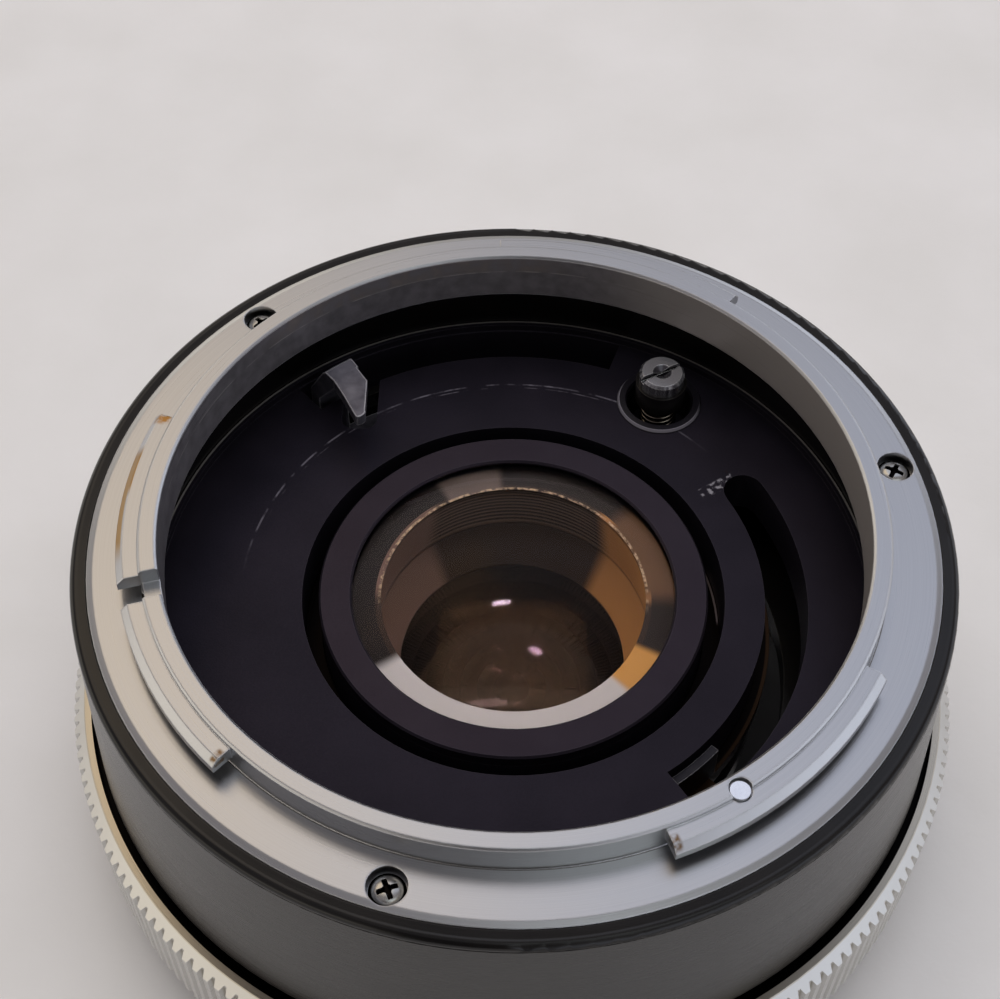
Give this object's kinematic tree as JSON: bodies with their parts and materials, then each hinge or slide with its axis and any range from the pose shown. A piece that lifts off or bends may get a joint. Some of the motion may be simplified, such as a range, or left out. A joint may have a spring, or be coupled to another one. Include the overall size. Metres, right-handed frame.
{
  "type": "camera teleconverter",
  "caption": "Teleconverter with a bayonet throat in front, a knurled breech-lock ring and collar at the rear, and sprung levers and a signal pin that pass through it.",
  "frame": {"origin": "on the optical axis, in the plane that the rear lens guard stands on", "axes": "+Z along the optical axis towards the front mount, +X to the right and +Y away from the viewer in the picture"},
  "size_m": [0.0656, 0.0656, 0.032],
  "materials": {
    "mount_chrome": "satin chrome plate on brass, turned",
    "ring_chrome": "satin chrome plate, knurled",
    "screw_steel": "nickel-plated steel",
    "bright_steel": "turned bright steel",
    "lever_steel": "pressed steel, tumbled",
    "spring_wire": "oil-blacked spring wire",
    "spring_bronze": "phosphor bronze wire",
    "ring_brass": "turned brass",
    "body_black": "black anodised, semi-gloss",
    "barrel_black": "black anodised, satin",
    "baffle_black": "matt black paint on aluminium",
    "coated_glass": "amber-coated optical glass",
    "index_red": "red enamel fill"
  },
  "bodies": {
    "body": {"front_mount": "mount_chrome", "mount_screws": "screw_steel", "mount_dowel": "bright_steel", "main_body": "body_black", "outer_barrel": "barrel_black", "barrel_dot": "index_red", "baffle_plate": "baffle_black", "lens_barrel": "baffle_black", "front_retaining_ring": "baffle_black", "front_element": "coated_glass", "ridged_spacer": "baffle_black", "pair_front_element": "coated_glass", "pair_rear_element": "coated_glass", "rear_element": "coated_glass", "rear_retaining_ring": "baffle_black", "ring_washer": "ring_brass", "pin_eyelet": "baffle_black", "pin_bush": "ring_brass", "pin_spring": "spring_bronze", "lens_guard": "baffle_black", "guard_screws": "screw_steel", "rear_mount": "mount_chrome", "rear_screws": "screw_steel", "locating_pin": "bright_steel", "breech_stop_screw": "screw_steel"},
    "breech": {"breech_ring": "ring_chrome", "breech_dot": "index_red"},
    "signal_control": {"signal_ring": "ring_brass", "signal_tab": "bright_steel", "signal_lever": "lever_steel", "signal_return_spring": "spring_wire"},
    "stop_down_control": {"stop_down_ring": "lever_steel", "stop_down_tab": "lever_steel", "stop_down_lever": "lever_steel", "stop_down_return_spring": "spring_wire"},
    "signal_pin": {"pin_head": "bright_steel", "pin_sleeve": "body_black", "pin_rod": "bright_steel", "pin_clip": "spring_wire"}
  },
  "joints": [
    {"name": "breech_turn", "type": "hinge", "parent": "body", "child": "breech", "pos_m": [0, 0, 0.0119], "axis": [0, 0, -1], "range_deg": [0, 57]},
    {"name": "signal_turn", "type": "hinge", "parent": "body", "child": "signal_control", "pos_m": [0, 0, 0.0179], "axis": [0, 0, 1], "range_deg": [0, 66], "stiffness_Nm_per_rad": 0.004, "springref_deg": -11.46},
    {"name": "stop_down_turn", "type": "hinge", "parent": "body", "child": "stop_down_control", "pos_m": [0, 0, 0.0162], "axis": [0, 0, -1], "range_deg": [0, 46], "stiffness_Nm_per_rad": 0.004, "springref_deg": -11.46},
    {"name": "pin_press", "type": "slide", "parent": "body", "child": "signal_pin", "axis": [0, 0, -1], "range_m": [0, 0.0023], "stiffness_N_per_m": 150, "springref_m": -0.003, "deforming": ["pin_spring"]}
  ]
}
